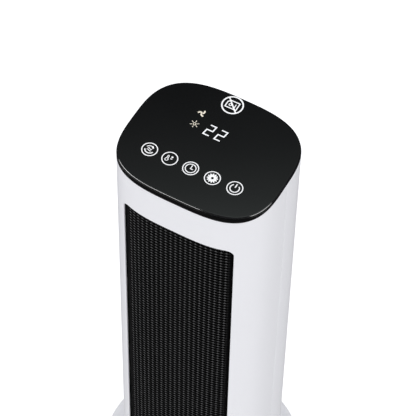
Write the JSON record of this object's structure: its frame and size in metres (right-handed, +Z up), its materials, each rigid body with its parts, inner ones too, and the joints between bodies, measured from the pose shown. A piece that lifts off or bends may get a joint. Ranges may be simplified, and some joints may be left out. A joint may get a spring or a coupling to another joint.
{
  "type": "ceramic tower heater",
  "caption": "Tower fan heater with a ceramic heating block, touch panel on top, mesh front grille and a round swinging base.",
  "frame": {"origin": "on the floor, at the centre of the round base, on the axis that the tower swings about", "axes": "+Z up, -Y to the front where the grille is, +X to the right seen from the front"},
  "size_m": [0.22, 0.22, 0.57],
  "materials": {
    "white_plastic": "satin moulded, cool white",
    "black_plastic": "fine spark texture, black",
    "black_glass": "polished, opaque black behind the glass",
    "display": "black block with white lit segments",
    "grey_plastic": "flame-retardant, dark grey, plain moulded",
    "natural_plastic": "acetal, natural off-white",
    "heatproof_plastic": "glass-filled, dark brown",
    "red_plastic": "polished red",
    "steel": "zinc plated",
    "brass": "turned",
    "aluminium": "rolled strip",
    "ceramic": "sintered, silvered faces",
    "board": "green solder mask",
    "component": "moulded component cases",
    "rubber": "soft black",
    "filter": "fine black nylon net"
  },
  "bodies": {
    "base": {"base_shell": "white_plastic", "base_cover": "black_plastic", "base_weight": "steel", "rubber_feet": "rubber", "base_screws": "steel", "glide_ring": "natural_plastic", "swivel_hub": "natural_plastic", "swing_gear": "natural_plastic", "hub_clip": "steel", "tip_switch": "red_plastic", "tip_spring": "steel", "cord_inlet": "black_plastic"},
    "tower": {"front_shell": "white_plastic", "rear_shell": "white_plastic", "front_grille": "black_plastic", "top_cap": "black_plastic", "switch_frame": "black_plastic", "grip_cup": "black_plastic", "buzzer": "black_plastic", "room_sensor": "black_plastic", "glass_panel": "black_glass", "display_module": "display", "tower_floor": "grey_plastic", "motor_deck": "grey_plastic", "bearing_deck": "grey_plastic", "left_duct_wall": "grey_plastic", "right_duct_wall": "grey_plastic", "fan_scroll": "grey_plastic", "fan_tongue": "grey_plastic", "ptc_frame": "heatproof_plastic", "shell_screws": "steel", "board_screws": "steel", "thermal_cutout": "steel", "fan_motor": "steel", "motor_screws": "steel", "swing_motor": "steel", "swing_screws": "steel", "fan_bush": "brass", "ptc_terminals": "brass", "touch_springs": "brass", "ptc_tubes": "aluminium", "ptc_fins": "aluminium", "ptc_stones": "ceramic", "control_board": "board", "power_board": "board", "relays": "component", "capacitor": "component"},
    "plunger": {"tip_plunger": "natural_plastic"},
    "fan": {"fan_wheel": "grey_plastic", "fan_shaft": "steel"},
    "pinion": {"swing_pinion": "natural_plastic"},
    "rocker": {"power_rocker": "red_plastic"},
    "filter": {"filter_panel": "white_plastic", "filter_mesh": "filter"}
  },
  "joints": [
    {"name": "tower_swing", "type": "hinge", "parent": "base", "child": "tower", "pos_m": [0, 0, 0.032], "axis": [0, 0, 1], "range_deg": [-35, 35]},
    {"name": "swing_pinion_spin", "type": "hinge", "parent": "tower", "child": "pinion", "pos_m": [-0.03938, 0, 0.0447], "axis": [0, 0, 1], "range_deg": [-115, 115]},
    {"name": "fan_spin", "type": "hinge", "parent": "tower", "child": "fan", "pos_m": [0, 0.018, 0.29], "axis": [0, 0, 1], "continuous": true},
    {"name": "power_rocker_tilt", "type": "hinge", "parent": "tower", "child": "rocker", "pos_m": [0, 0.061, 0.072], "axis": [1, 0, 0], "range_deg": [0, 18]},
    {"name": "filter_pull", "type": "slide", "parent": "tower", "child": "filter", "axis": [0, 1, 0], "range_m": [0, 0.05]},
    {"name": "tip_plunger_drop", "type": "slide", "parent": "base", "child": "plunger", "axis": [0, 0, -1], "range_m": [0, 0.004], "stiffness_N_per_m": 50, "springref_m": 0.006, "deforming": ["tip_spring"]}
  ],
  "couplings": [
    {"joint": "swing_pinion_spin", "follows": "tower_swing", "ratio": 3.2}
  ]
}
